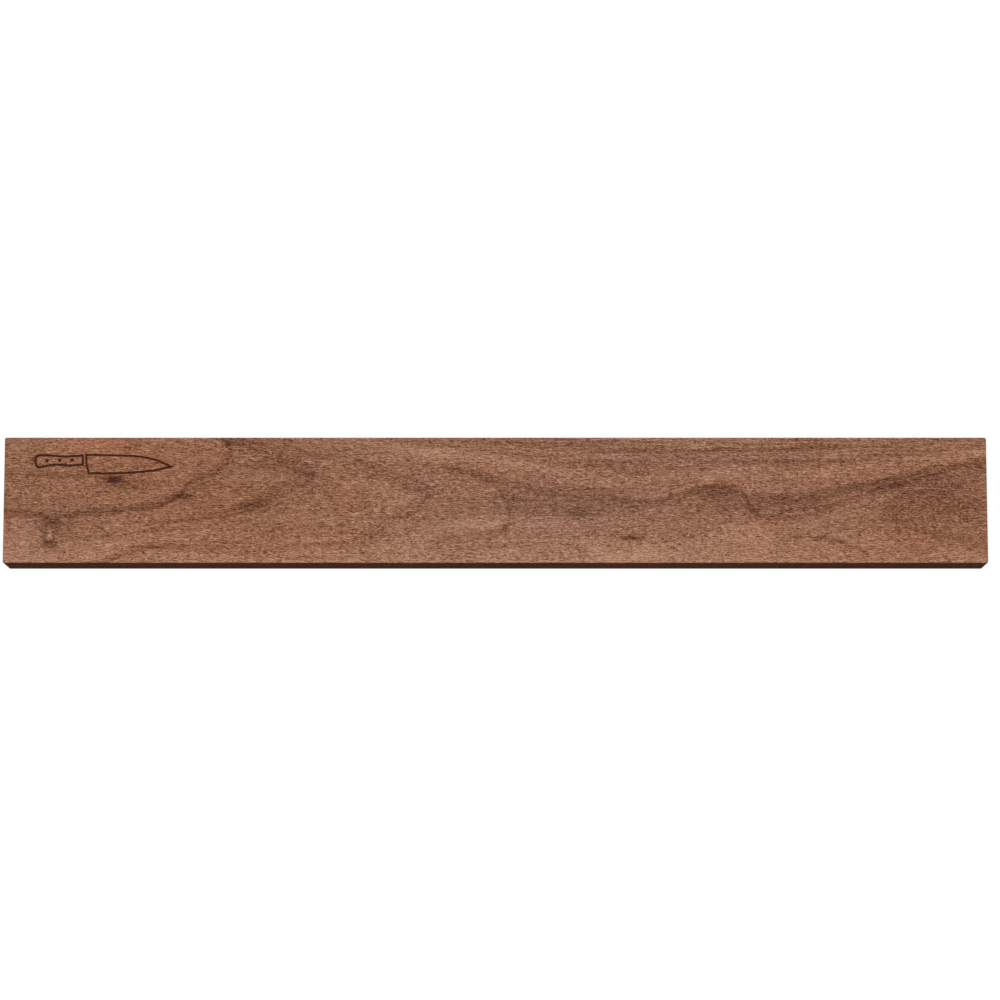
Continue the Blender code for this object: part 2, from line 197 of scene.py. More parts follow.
class Triple(Varying):
    """A place in millimetres, a direction or a colour."""

    math_node = "ShaderNodeVectorMath"

    def math(self, operation, *others):
        return Triple(self.tree, self.operate(operation, *others)["Vector"])

    def measure(self, operation, *others):
        return Value(self.tree, self.operate(operation, *others)["Value"])

    def moved(self, offset):
        return self.math("ADD", offset)

    def sheared(self, slope):
        """The place with its height changed in proportion to X, which tilts noise that is long along X."""
        return self.moved(along_and_up(self.tree, 0.0, self.parts()[0] * slope))

    def parts(self):
        node = self.tree.nodes.new("ShaderNodeSeparateXYZ")
        feed(self.tree, self, node.inputs[0])
        return [Value(self.tree, output) for output in node.outputs]

    def noise(self, lengths, detail=1.0, roughness=0.5, seed=0.0):
        """Noise around 0, mostly within 0.25 either way, whose lumps have the given lengths."""
        node = self.tree.nodes.new("ShaderNodeTexNoise")
        frequencies = [1 / length for length in lengths]
        feed(self.tree, self.moved((seed, seed, seed)).math("MULTIPLY", frequencies), node.inputs["Vector"])
        node.inputs["Scale"].default_value = 1.0
        node.inputs["Detail"].default_value = detail
        node.inputs["Roughness"].default_value = roughness
        return Value(self.tree, node.outputs[0]) - 0.5

    def spot(self, centre, radii):
        """1 at the centre of an ellipse in X and Z, falling off as a bell does. It runs through the depth."""
        scale = (1 / radii[0], 0.0, 1 / radii[1])
        away = self.moved((-centre[0], 0.0, -centre[1])).math("MULTIPLY", scale)
        return (away.measure("DOT_PRODUCT", away) * -1.0).math("EXPONENT")


def feed(tree, item, slot):
    """Connects a varying item to a node's input, or sets a plain number or point there."""
    if isinstance(item, Varying):
        tree.links.new(item.socket, slot)
    else:
        slot.default_value = item


def along_and_up(tree, along, up):
    """A displacement with the given parts along X and Z."""
    node = tree.nodes.new("ShaderNodeCombineXYZ")
    feed(tree, along, node.inputs["X"])
    feed(tree, up, node.inputs["Z"])
    return Triple(tree, node.outputs[0])


def draw_curve(mapping, points):
    curve = mapping.curves[0]
    while len(curve.points) < len(points):
        curve.points.new(0.5, 0.5)
    for point, place in zip(curve.points, points):
        point.location = place
    mapping.update()


def new_material(name):
    """An empty Principled material and its object coordinates in millimetres."""
    material = bpy.data.materials.new(name)
    material.use_nodes = True
    tree = material.node_tree
    shader = tree.nodes["Principled BSDF"]
    coordinates = tree.nodes.new("ShaderNodeTexCoord")
    metres = Triple(tree, coordinates.outputs["Object"])
    return material, tree, shader, metres.math("MULTIPLY", (1000.0, 1000.0, 1000.0))


def ramp(tree, value, stops):
    """A colour that follows a value through (position, colour) stops."""
    node = tree.nodes.new("ShaderNodeValToRGB")
    elements = node.color_ramp.elements
    while len(elements) < len(stops):
        elements.new(1.0)
    for element, (position, colour) in zip(elements, stops):
        element.position = position
        element.color = colour
    feed(tree, value, node.inputs[0])
    return node.outputs["Color"]


def tinted(tree, colour, amount, tint):
    """The colour multiplied by 1 + amount * tint, channel by channel."""
    scale = Triple(tree, amount.socket).math("MULTIPLY_ADD", tint, (1.0, 1.0, 1.0))
    return Triple(tree, colour).math("MULTIPLY", scale).socket


def blended(tree, amount, colour, other):
    """One colour turning into another as the amount goes from 0 to 1."""
    node = tree.nodes.new("ShaderNodeMix")
    node.data_type = "RGBA"
    feed(tree, amount, node.inputs["Factor"])
    tree.links.new(colour, node.inputs["A"])
    node.inputs["B"].default_value = other
    return node.outputs["Result"]


def edge_mask(tree):
    """0 on faces square to the axes, rising to 1 on an eased edge between them."""
    geometry_node = tree.nodes.new("ShaderNodeNewGeometry")
    normal = Triple(tree, geometry_node.outputs["True Normal"])
    squares = normal.math("MULTIPLY", normal)
    return squares.measure("DOT_PRODUCT", squares).smooth_step(FLAT_ABOVE, EASED_BELOW)


def add_bump(tree, shader, height, distance, strength):
    node = tree.nodes.new("ShaderNodeBump")
    node.inputs["Distance"].default_value = distance
    node.inputs["Strength"].default_value = strength
    feed(tree, height, node.inputs["Height"])
    tree.links.new(node.outputs["Normal"], shader.inputs["Normal"])


# The walnut's figure, in millimetres along X and Z on the front face.
#
# A growth line is the edge of a region that narrows with depth. "over" is the region's upper edge and
# "under" its lower edge. "fades" is how far its darkness reaches inside the region and outside it. "echo"
# is the strength of the thin lines that run beside it, and "starts" is the stretch where it fades in.

# A node curve runs from 0 to 1, which stands for 250 mm and 90 mm either way from the middle.
ALONG_SHARE = 0.5 / 250
UP_SHARE = 0.5 / 90
RING_LEAN = 0.75
NOSE_ROUNDING = 3.0
FADE_REACH = 3
ECHO_REACH = 26.0
ECHO_LENGTHS = (70, 1.0, 1.5)
FRONT_MM = CAD_BOX[0].y * 1000

MIDDLE_NOSE = {
    "over": [(-250, 70), (-120, 38), (-45, 20.4), (-29, 15.7), (-18, 12.7), (-11, 10.5), (-5, 7.5),
        (0.5, 0), (3, -6), (6, -13), (10, -24)],
    "under": [(-250, -88), (-60, -56), (-46, -42), (-40, -32), (-37, -27), (-29, -20.4), (-21, -18),
        (-5, -15), (3, -12), (6, -8), (10, 2)],
}

BOARD_LINES = [
    # Nested points at the left, from the inside out.
    {"over": [(-250, 44), (-150, 43), (-141, 36), (-136, 30), (-132, 23), (-126, 2), (-110, -20)],
     "under": [(-250, -5.8), (-236, -6.6), (-225, -10.6), (-218, -8.2), (-205, -6.2), (-185, -5),
        (-172, -3), (-159, 2.5), (-152, 9.8), (-141, 14.5), (-132, 24), (-126, 42), (-110, 60)],
     "fades": (1.8, 1.1), "dark": 0.20, "echo": 0.35},
    {"over": [(-250, 62), (-150, 40), (-128, 30), (-110, 24.4), (-100, 20), (-92, 14), (-80, -8)],
     "under": [(-250, -17.5), (-201, -14.6), (-172, -11.4), (-138, -7.4), (-123, -2.6), (-110, 4.5),
        (-97, 9.3), (-91, 14), (-80, 36)],
     "fades": (3.2, 1.4), "dark": 0.17, "echo": 0.60, "starts": (-190, -125)},
    {"over": [(-250, 66), (-134, 31.5), (-90, 22), (-66, 17.2), (-50, 10.9), (-37, 5.0), (-24, -10)],
     "under": [(-250, -33.5), (-201, -31.3), (-182, -25.7), (-160, -23.3), (-122, -23.3), (-90, -23),
        (-71, -20.5), (-61, -14.6), (-50, -7.4), (-38, -1.8), (-33, 5), (-24, 22)],
     "fades": (1.2, 3), "dark": 0.11, "echo": 0.75},
    # The middle: a light-edged point, and the wavy line that runs on to the right end.
    {**MIDDLE_NOSE, "fades": (0.8, 6), "dark": 0.14, "echo": 0.30, "starts": (-44, 0)},
    {"over": [(-250, 60), (-82, 28.5), (-45, 22), (-26, 17.4), (0, 11), (27, 5.3), (64, 1.5), (83, 0.8),
        (96, 5), (112, 7.6), (122, 6), (129, -2), (136, -7.6), (146, -8.8), (158, -6.4), (170, -2),
        (182, 1.6), (194, 5.4), (208, 8.6), (228, 13), (250, 17)],
     "fades": (2.6, 1), "dark": 0.14, "echo": 0.60, "starts": (-70, 30)},
    # Lines beside and above the wavy one.
    {"over": [(-250, 10), (60, 8), (112, 6), (124, 3.6), (136, 3), (160, 4.2), (183, 8.2), (207, 12.3),
        (231, 17.2), (250, 20.6)],
     "fades": (3.4, 0.9), "dark": 0.18, "starts": (113, 131)},
    {"over": [(-250, 84), (-60, 42), (0, 30), (40, 27.4), (72, 25.9), (90, 25.2), (121, 25.2), (144, 26),
        (175, 27.6), (207, 30), (250, 34)],
     "fades": (1.6, 0.8), "dark": 0.13},
    {"over": [(-250, 74), (-60, 35), (0, 24.4), (37, 21), (64, 18.8), (90, 18), (136, 20.2), (160, 19),
        (200, 23), (250, 29)],
     "fades": (1.8, 0.9), "dark": 0.12},
    # The point at the right end, and two arches at the lower edge.
    {"over": [(-250, -90), (170, -50), (192, -15), (198, -5), (207, 2), (220, 4), (235, 7), (250, 11)],
     "under": [(-250, 90), (170, 40), (192, 6), (198, -5.5), (204, -11.4), (226, -17.8), (250, -24)],
     "fades": (2.6, 1), "dark": 0.13, "echo": 0.35},
    {"over": [(-250, -90), (-30, -60), (-23, -33), (-19, -28), (-10, -25), (4, -24), (20, -26), (32, -44),
        (44, -80)],
     "fades": (1.1, 0.8), "dark": 0.12},
    {"over": [(-250, -90), (134, -70), (141, -32), (143.5, -22), (149, -18.6), (167, -20), (183, -23.4),
        (189, -28), (194, -50)],
     "fades": (1.2, 0.7), "dark": 0.24},
    # Lines around knots.
    {"over": [(-250, -80), (86, -70), (90, -30), (91.6, -5), (94, 2), (98.6, 5), (103, 3), (106, -5),
        (108, -30)],
     "under": [(-250, 80), (86, 60), (90, 30), (91.6, 4), (94, -3.4), (98.6, -6.6), (103, -4), (106, 4),
        (108, 30)],
     "fades": (0.9, 0.8), "dark": 0.12},
    {"over": [(-250, -80), (50, -60), (55, -24), (60, -16.5), (70, -13.2), (80, -16), (86, -22), (92, -34),
        (110, -80)],
     "fades": (0.9, 0.6), "dark": 0.09},
    # Light bands.
    {"over": [(-250, -90), (96, -84), (102, -50), (105, -26), (108, -16.5), (114, -13.2), (126, -12.4),
        (136, -13.4), (140, -18), (143, -36), (148, -60)],
     "fades": (7, 0.5), "dark": -0.09},
    {"over": [(-250, 66), (-82, 32.5), (-45, 27), (0, 18.4), (32, 13.6), (64, 9.2), (84, 7.6), (98, 12),
        (114, 14.6), (136, 12), (160, 12.4), (190, 16), (222, 22), (250, 28)],
     "fades": (3.6, 3.6), "dark": -0.07},
    {"over": [(-250, -80), (-56, -50), (-45, -30), (-34, -18.2), (-18, -13.4), (0, -12), (20, -13),
        (44, -22)],
     "fades": (2, 3.4), "dark": -0.08},
    {**MIDDLE_NOSE, "fades": (2.6, 0.3), "dark": -0.10, "starts": (-40, -4)},
]

# Dark and light spots: (centre, radii, darkness). A knot is a small dark spot with a soft dark collar.
BOARD_SPOTS = [
    ((-194, 10.2), (4.2, 1.8), 0.8), ((-191, 9.6), (12, 4), 0.14), ((-180, 8.6), (7, 1.2), 0.14),
    ((-216, 12.6), (18, 1.8), 0.14), ((-158, 2), (5, 2.8), 0.32), ((-122, -3), (9, 3), 0.2),
    ((-95, 13), (5, 5), 0.1), ((-135, 24), (4, 8), 0.1), ((-227, -22.4), (3.8, 2), 0.4),
    ((-226.5, -18), (4, 5), 0.26), ((-226.4, -17.4), (1.4, 2.8), -0.62), ((-225, -12.2), (7, 2.4), 0.16),
    ((-224.5, -14.5), (10, 8), 0.1), ((43, -6.4), (8, 3), 0.26), ((68.9, -19.3), (5, 1.3), 0.62),
    ((76, -27), (11, 5), -0.13), ((112, 4.6), (9, 2.8), 0.24), ((114, 0), (5.5, 5), 0.12),
    ((-184, 29), (3, 4), 0.1), ((129, -3.4), (7, 3), 0.18), ((144, -7.4), (8, 1.8), 0.1),
    ((226, 13.4), (24, 5), 0.08), ((122, -24), (15, 7), -0.03), ((0, 22), (42, 5), -0.09),
    ((-2, -23), (18, 5), -0.06), ((-203, 28), (18, 7), -0.04), ((-240, -28), (14, 6), -0.12),
    ((35, 0), (60, 7), 0.05), ((12, -3), (9, 8), 0.07), ((150, -3), (17, 3.6), 0.1),
    # The wide spot at (0, -44) lightens the whole face towards its lower edge: painted light, partly the
    # wood's own tone.
    ((186, 6), (22, 3.2), 0.07), ((0, -44), (500, 22), -0.26), ((230, -4), (22, 10), 0.18),
    ((-119, 26), (12, 5), -0.1), ((-28, 26), (22, 4.5), -0.08), ((-168, -15), (20, 5), 0.08),
    ((-148, 5), (16, 5), 0.07), ((-92, 5), (12, 6), 0.05), ((-240, -14), (12, 6), -0.06),
    ((-242, -7.4), (16, 1.6), 0.12), ((-240, 12.4), (14, 1.8), 0.14), ((-170, 5), (16, 6), 0.04),
    ((204, -9), (11, 9), 0.09), ((-58, 0), (8, 24), -0.04), ((-208, -15), (14, 4), 0.06),
    ((168, 4), (20, 3), 0.04), ((160, -27), (10, 4), 0.05), ((-214, 28.5), (22, 3), -0.05),
    ((-48, 0), (14, 7), -0.07), ((-9, -15), (14, 4), -0.07), ((30, -15), (14, 4), 0.05),
    ((240, 15), (12, 5), -0.1), ((214, -25), (22, 6), 0.11),
]

# Warm and grey zones: (centre, radii, warmth), where less than 0 is greyer.
BOARD_TINTS = [
    ((-200, 20), (60, 24), 0.8), ((-203, 29), (20, 8), 1), ((-150, -10), (50, 18), 0.6),
    ((225, -8), (36, 22), 0.8), ((36, -4), (70, 10), -1.1), ((0, -26), (40, 9), -0.9),
    ((110, 30), (90, 7), -0.6), ((-60, 26), (40, 8), -0.4), ((-240, -26), (14, 10), -0.6),
    ((60, 28), (50, 6), -0.5), ((166, 5), (20, 6), -0.5), ((-224, -10), (14, 8), -0.5),
    ((-160, 27), (40, 6), 0.3), ((-110, -22), (50, 8), 0.4), ((-150, 0), (60, 36), 0.34),
    ((-22, 18), (56, 14), -0.22), ((195, -22), (66, 13), 0.28), ((-246, 14), (10, 12), -0.3),
]

# Where the long streaks show most, as a stack of thin dark lines.
LINED_ZONE = {"centre": (120.0, 27.0), "radii": (130.0, 9.0)}
LINED_INSIDE = 1.3
LINED_OUTSIDE = 0.8

BATTEN_LINES = [
    {"over": [(-250, 9), (-160, 13), (-60, 11), (40, 14), (150, 10), (250, 12)],
     "fades": (2.4, 1), "dark": 0.16},
    {"over": [(-250, 1), (-150, 4), (-40, 2), (60, 5), (160, 1), (250, 3)],
     "fades": (3, 1), "dark": 0.13},
    {"under": [(-250, -9), (-140, -6), (-30, -10), (80, -7), (180, -11), (250, -9)],
     "fades": (2, 1), "dark": 0.15},
    {"under": [(-250, -17), (-120, -15), (0, -18), (110, -15), (250, -18)],
     "fades": (2.6, 1.2), "dark": 0.12},
]
BATTEN_SPOTS = [((-92, 6), (7, 2), 0.22), ((131, -12), (5, 1.6), 0.2)]
BATTEN_TINTS = [((-120, 0), (90, 20), 0.5), ((140, 0), (80, 20), -0.6)]

# What makes each piece of wood its own. "middle" is its middle colour.
BOARD_WOOD = {
    "lines": BOARD_LINES, "spots": BOARD_SPOTS, "tints": BOARD_TINTS,
    "middle": (133, 87, 61), "seed": 5.0, "roughness": 0.5,
}
BATTEN_WOOD = {
    "lines": BATTEN_LINES, "spots": BATTEN_SPOTS, "tints": BATTEN_TINTS,
    "middle": (128, 90, 68), "seed": 211.0, "roughness": 0.58,
}


def growth_darkness(place, lines):
    """How much darker the growth lines make the wood, from their edges' distance at each place."""
    across, depth, height = place.parts()
    along = across * ALONG_SHARE + 0.5
    lean = (depth - FRONT_MM) * RING_LEAN
    height_over = (height + lean) * UP_SHARE + 0.5
    height_under = (height - lean) * UP_SHARE + 0.5
    parts = []
    for line in lines:
        outside = line_distance(line, along, height_over, height_under)
        darkness = edge_profile(outside, *line["fades"]) * line["dark"]
        if "echo" in line:
            darkness = darkness + echo_lines(place, outside) * line["echo"]
        if "starts" in line:
            start, end = line["starts"]
            darkness = darkness * across.smooth_step(start, end)
        parts.append(darkness)
    return sum(parts[1:], parts[0])


def echo_lines(place, outside):
    """Thin irregular lines beside a growth line, which fade out with distance on both sides."""
    strip = along_and_up(place.tree, place.parts()[0], outside * (1 / UP_SHARE))
    thin = strip.noise(ECHO_LENGTHS, detail=2.0)
    near = outside.smooth_step(-ECHO_REACH * UP_SHARE, 0.0)
    beyond = outside.smooth_step(ECHO_REACH * UP_SHARE, 0.0)
    return thin * (near * beyond)


def line_distance(line, along, height_over, height_under):
    """Distance out of a growth line's region, as a node curve has it. It is below 0 inside."""
    edges = []
    if "over" in line:
        edges.append(height_over - along.shaped(unit_points(line["over"])))
    if "under" in line:
        edges.append(along.shaped(unit_points(line["under"])) - height_under)
    if len(edges) == 1:
        return edges[0]
    return edges[0].smooth_max(edges[1], NOSE_ROUNDING * UP_SHARE)


def unit_points(points):
    """Millimetre points as a node curve takes them."""
    return [(0.5 + x * ALONG_SHARE, 0.5 + z * UP_SHARE) for x, z in points]


def edge_profile(distance, inner, outer):
    """1 on the line, fading over inner millimetres inside the region and outer millimetres outside it."""
    inside = distance.smooth_step(-FADE_REACH * inner * UP_SHARE, 0.0)
    outside = distance.smooth_step(FADE_REACH * outer * UP_SHARE, 0.0)
    return (inside * inside) * (outside * outside)


def sum_of_spots(place, spots):
    """Spots given as (centre, radii, amount), added together."""
    parts = [place.spot(centre, radii) * amount for centre, radii, amount in spots]
    return sum(parts[1:], parts[0])


# Walnut

# The tone runs from 0, the darkest knots, to 1, the lightest fibres, about a middle colour.
MIDDLE_TONE = 0.6
CONTRAST = 0.74
FLECK_SLOPE = 0.11
TONE_RANGE = (150, 150, 152)
RAMP_STOPS = 9
WARM_TINT = (0.03, -0.027, -0.10)
DARK_TINT = (0.0, 0.25, 0.32)
# Painted shade: the colour that the eased edges are blended towards, greyer and darker than the face, and the
# noise levels over which it sets in.
EDGE_SHADE_COLOUR = (116, 91, 77)
EDGE_SHADE_LEVELS = (0.0, 1.8)
WOOD_SPECULAR = 0.2
PORE_ROUGHNESS = 0.41
FIBRE_SHEEN = 0.11
PORE_RELIEF = 2.94
FIBRE_RELIEF = 0.28

# The wood's noises: the lengths of their lumps along X, Y and Z, detail, roughness, seed and strength.
WOOD_NOISES = {
    "wave": ((58, 24, 20), 2.0, 0.5, 0, 5.0),
    "ripple": ((11, 8, 5), 2.0, 0.5, 31, 1.6),
    "drift": ((46, 30, 26), 1.0, 0.5, 57, 14.0),
    "fray": ((7.0, 1.4, 1.0), 2.0, 0.5, 61, 3.2),
    "patches": ((34, 14, 9), 2.0, 0.5, 83, 1.9),
    "mottle": ((34, 9, 6), 2.0, 0.5, 11, 0.10),
    "streaks": ((46, 1.5, 1.1), 3.0, 0.5, 17, 0.42),
    "scores": ((22, 0.80, 0.52), 1.0, 0.5, 67, 1.0),
    "threads": ((9, 0.70, 0.46), 1.0, 0.5, 19, 0.5),
    "fibres": ((4.6, 0.50, 0.36), 2.0, 0.7, 23, 1.8),
    "grains": ((1.3, 0.46, 0.34), 1.0, 0.5, 43, 1.3),
    "pores": ((3.2, 0.50, 0.36), 1.0, 0.5, 29, 1.0),
    "dashes": ((1.7, 0.46, 0.32), 1.0, 0.5, 37, 1.0),
    "density": ((26, 9, 7), 1.0, 0.5, 71, 1.1),
    "warmth": ((60, 20, 14), 1.0, 0.5, 41, 2.0),
}

# Noises that are cut to marks: the levels between which a mark sets in, and how dark it is.
WOOD_MARKS = {
    "scores": ((0.08, 0.20), 0.14),
    "pores": ((0.02, 0.18), 0.34),
    "dashes": ((0.02, 0.16), 0.32),
}
# Added back to the tone, so that the marks don't darken the wood as a whole.
FLECK_BALANCE = 0.142


def walnut_stops(middle):
    """Colours from dark to light, each channel rising evenly through the middle colour."""
    stops = []
    for index in range(RAMP_STOPS):
        tone = index / (RAMP_STOPS - 1)
        channels = [base + span * (tone - MIDDLE_TONE) for base, span in zip(middle, TONE_RANGE)]
        stops.append((tone, linear(*[max(channel, 4) for channel in channels])))
    return stops


def wood_noise(place, name, seed):
    lengths, detail, roughness, own_seed, strength = WOOD_NOISES[name]
    return place.noise(lengths, detail, roughness, seed + own_seed) * strength


def wood_marks(place, name, seed):
    """The darkness of small marks, each with a soft edge."""
    (low, high), darkness = WOOD_MARKS[name]
    return wood_noise(place, name, seed).smooth_step(low, high) * darkness


def make_walnut(name, lines, spots, tints, middle, seed, roughness):
    """Walnut: growth lines, knots, warm and grey zones, long streaks, fibres, open pores and painted shade on
    the eased edges.
    """
    material, tree, shader, place = new_material(name)
    rise = wood_noise(place, "wave", seed) + wood_noise(place, "ripple", seed)
    wavy = place.moved(along_and_up(tree, wood_noise(place, "drift", seed), rise))
    fray = wood_noise(wavy, "fray", seed)
    frayed = wavy.moved(along_and_up(tree, 0.0, fray))
    patches = wood_noise(place, "patches", seed) + 1.0
    dark = growth_darkness(frayed, lines) * patches + sum_of_spots(place, spots)

    rising = wavy.sheared(FLECK_SLOPE)
    falling = wavy.sheared(-FLECK_SLOPE)
    fibres = wood_noise(rising, "fibres", seed)
    pores = wood_marks(rising, "pores", seed)
    dashes = wood_marks(falling, "dashes", seed)
    density = wood_noise(place, "density", seed) + 1.0
    lined = place.spot(**LINED_ZONE) * LINED_INSIDE + LINED_OUTSIDE
    streaks = (wood_noise(wavy, "streaks", seed) - wood_marks(wavy, "scores", seed)) * lined
    grain = fibres + wood_noise(falling, "grains", seed) + wood_noise(falling, "threads", seed)
    figure = grain + streaks + wood_noise(place, "mottle", seed) - (pores + dashes) * density - dark
    tone = (figure + FLECK_BALANCE) * CONTRAST + MIDDLE_TONE

    warmth = wood_noise(place, "warmth", seed) + sum_of_spots(place, tints)
    warm = tinted(tree, ramp(tree, tone, walnut_stops(middle)), warmth, WARM_TINT)
    greyed = tinted(tree, warm, dark.math("MAXIMUM", 0.0), DARK_TINT)
    # Painted shade on the eased edges: in noisy patches they turn towards a greyer, darker colour that stands
    # in for the shade along them.
    painted_edge_shade = edge_mask(tree) * (fray + 1.0).smooth_step(*EDGE_SHADE_LEVELS)
    tree.links.new(blended(tree, painted_edge_shade, greyed, linear(*EDGE_SHADE_COLOUR)), shader.inputs["Base Color"])
    feed(tree, pores * PORE_ROUGHNESS - fibres * FIBRE_SHEEN + roughness, shader.inputs["Roughness"])
    shader.inputs["Specular IOR Level"].default_value = WOOD_SPECULAR
    relief = fibres * FIBRE_RELIEF - pores * PORE_RELIEF
    add_bump(tree, shader, relief, distance=0.00004, strength=0.3)
    return material


BURNT_STOPS = [(0.25, linear(48, 16, 4)), (0.75, linear(80, 36, 14))]
SOOT_LENGTHS = (1.6, 0.5, 0.5)
SOOT_ROUGHNESS = 0.6


def make_burnt_wood():
    """Charred wood on the walls and floor of the mark's grooves."""
    material, tree, shader, place = new_material("burnt_wood")
    soot = place.noise(SOOT_LENGTHS, detail=3.0) + 0.5
    tree.links.new(ramp(tree, soot, BURNT_STOPS), shader.inputs["Base Color"])
    feed(tree, soot * 0.3 + SOOT_ROUGHNESS, shader.inputs["Roughness"])
    shader.inputs["Specular IOR Level"].default_value = WOOD_SPECULAR
    add_bump(tree, shader, soot, distance=0.0001, strength=0.7)
    return material


# Metals

ZINC_STOPS = [(0.2, linear(176, 180, 186)), (0.5, linear(204, 206, 208)), (0.8, linear(222, 222, 218))]
ZINC_CLOUD_LENGTHS = (5, 5, 5)
ZINC_RUB_LENGTHS = (0.25, 0.25, 7.0)
CRYSTALS_PER_MM = 0.9
CRYSTAL_SHADE = 0.12
CLOUD_SHADE = 0.9
ZINC_SHADE = 0.45
ZINC_ROUGHNESS = 0.36
METAL_UNEVENNESS = 0.30

BRIGHT_NICKEL = {
    "stops": [(0.3, linear(206, 201, 190)), (0.7, linear(220, 216, 206))],
    "lengths": (3, 2, 2), "detail": 4.0, "roughness": 0.24,
}
ROLLED_STEEL = {
    "stops": [(0.3, linear(140, 141, 143)), (0.7, linear(178, 179, 180))],
    "lengths": (40, 1.2, 0.5), "detail": 3.0, "roughness": 0.42,
}


def make_zinc():
    """Zinc plating: faint crystals, rub marks and a slightly uneven sheen."""
    material, tree, shader, place = new_material("zinc_plating")
    cells = tree.nodes.new("ShaderNodeTexVoronoi")
    cells.inputs["Scale"].default_value = CRYSTALS_PER_MM
    feed(tree, place, cells.inputs["Vector"])
    crystals = Value(tree, cells.outputs["Distance"])
    cloud = place.noise(ZINC_CLOUD_LENGTHS, detail=3.0)
    rubs = place.noise(ZINC_RUB_LENGTHS, detail=2.0, seed=13)
    shade = crystals * CRYSTAL_SHADE + cloud * CLOUD_SHADE + ZINC_SHADE
    tree.links.new(ramp(tree, shade, ZINC_STOPS), shader.inputs["Base Color"])
    shader.inputs["Metallic"].default_value = 1.0
    feed(tree, (cloud + rubs) * METAL_UNEVENNESS + ZINC_ROUGHNESS, shader.inputs["Roughness"])
    add_bump(tree, shader, rubs + cloud, distance=0.00003, strength=0.4)
    return material


def make_marked_metal(name, stops, lengths, detail, roughness):
    """A metal with faint marks of the given lengths in its tone and its sheen."""
    material, tree, shader, place = new_material(name)
    marks = place.noise(lengths, detail)
    tree.links.new(ramp(tree, marks + 0.5, stops), shader.inputs["Base Color"])
    shader.inputs["Metallic"].default_value = 1.0
    feed(tree, marks * METAL_UNEVENNESS + roughness, shader.inputs["Roughness"])
    return material


# Outlines in X and Z, as lists of points


def arc(centre, radius, start_degrees, end_degrees, steps=CORNER_STEPS):
    points = []
    for step in range(steps + 1):
        angle = math.radians(start_degrees + (end_degrees - start_degrees) * step / steps)
        points.append((centre[0] + radius * math.cos(angle), centre[1] + radius * math.sin(angle)))
    return points


def circle(centre, radius, sides):
    return arc(centre, radius, 0, 360, sides)[:-1]


def rounded_box(low, high, radius, steps=CORNER_STEPS):
    """A rectangle between two (X, Z) corners whose own corners are quarter circles."""
    left, right = low[0] + radius, high[0] - radius
    bottom, top = low[1] + radius, high[1] - radius
    points = arc((right, top), radius, 0, 90, steps)
    points += arc((left, top), radius, 90, 180, steps)
    points += arc((left, bottom), radius, 180, 270, steps)
    points += arc((right, bottom), radius, 270, 360, steps)
    return without_repeats(points)


def without_repeats(points):
    kept = []
    for point in points:
        if not kept or math.dist(point, kept[-1]) > SAME_POINT:
            kept.append(point)
    if math.dist(kept[0], kept[-1]) <= SAME_POINT:
        kept.pop()
    return kept


def keyhole_outline(centre_x):
    """A round entry hole below, and a narrow slot that rises out of it to a round end."""
    meeting = math.degrees(math.asin(KEYHOLE_SLOT_RADIUS / KEYHOLE_ENTRY_RADIUS))
    slot_end = arc((centre_x, KEYHOLE_SLOT_TOP), KEYHOLE_SLOT_RADIUS, 0, 180, 2 * CORNER_STEPS)
    entry = (centre_x, KEYHOLE_ENTRY_HEIGHT)
    return slot_end + arc(entry, KEYHOLE_ENTRY_RADIUS, 90 + meeting, 450 - meeting, 4 * CORNER_STEPS)


def smooth_outline(points, corners):
    """A closed curve through the points. The points whose numbers are in corners stay sharp.

    Handles are a third of the way along a side, or a smooth point's, between its neighbours, a sixth.
    """
    count = len(points)
    places = [Vector((x, z, 0.0)) for x, z in points]
    outline = []
    for index in range(count):
        start, end = places[index], places[(index + 1) % count]
        leave = (end - places[index - 1]) / 6 if index not in corners else (end - start) / 3
        following = (index + 1) % count
        after = places[(index + 2) % count]
        arrive = (after - start) / 6 if following not in corners else (end - start) / 3
        curve = geometry.interpolate_bezier(start, start + leave, end - arrive, end, CURVE_STEPS + 1)
        outline += [(point.x, point.y) for point in curve[:-1]]
    return outline


def offset_outline(points, distance):
    """The closed outline moved sideways by a distance, with mitred corners."""
    moved = []
    count = len(points)
    for index, (x, z) in enumerate(points):
        before, after = points[index - 1], points[(index + 1) % count]
        first = Vector((x - before[0], z - before[1])).normalized()
        second = Vector((after[0] - x, after[1] - z)).normalized()
        normal = Vector((first.y + second.y, -first.x - second.x))
        mitre = distance * 2 / max(normal.length_squared, SHARPEST_MITRE)
        moved.append((x + normal.x * mitre, z + normal.y * mitre))
    return moved


# Solids


def add_prism(mesh, outline, front, back, back_outline=None):
    """Extrudes an outline from Y = front to Y = back, where it may have another outline of as many points."""
    near = [mesh.verts.new((x, front, z)) for x, z in outline]
    far = [mesh.verts.new((x, back, z)) for x, z in back_outline or outline]
    mesh.faces.new(near)
    mesh.faces.new(list(reversed(far)))
    bridge(mesh, near, far)


def bridge(mesh, ring, other):
    """Joins two rings of as many points with quads."""
    for index in range(len(ring)):
        following = (index + 1) % len(ring)
        mesh.faces.new((ring[following], ring[index], other[index], other[following]))


def add_fan(mesh, centre, ring):
    """Closes a ring with triangles that meet at a centre."""
    for index, corner in enumerate(ring):
        mesh.faces.new((centre, ring[(index + 1) % len(ring)], corner))


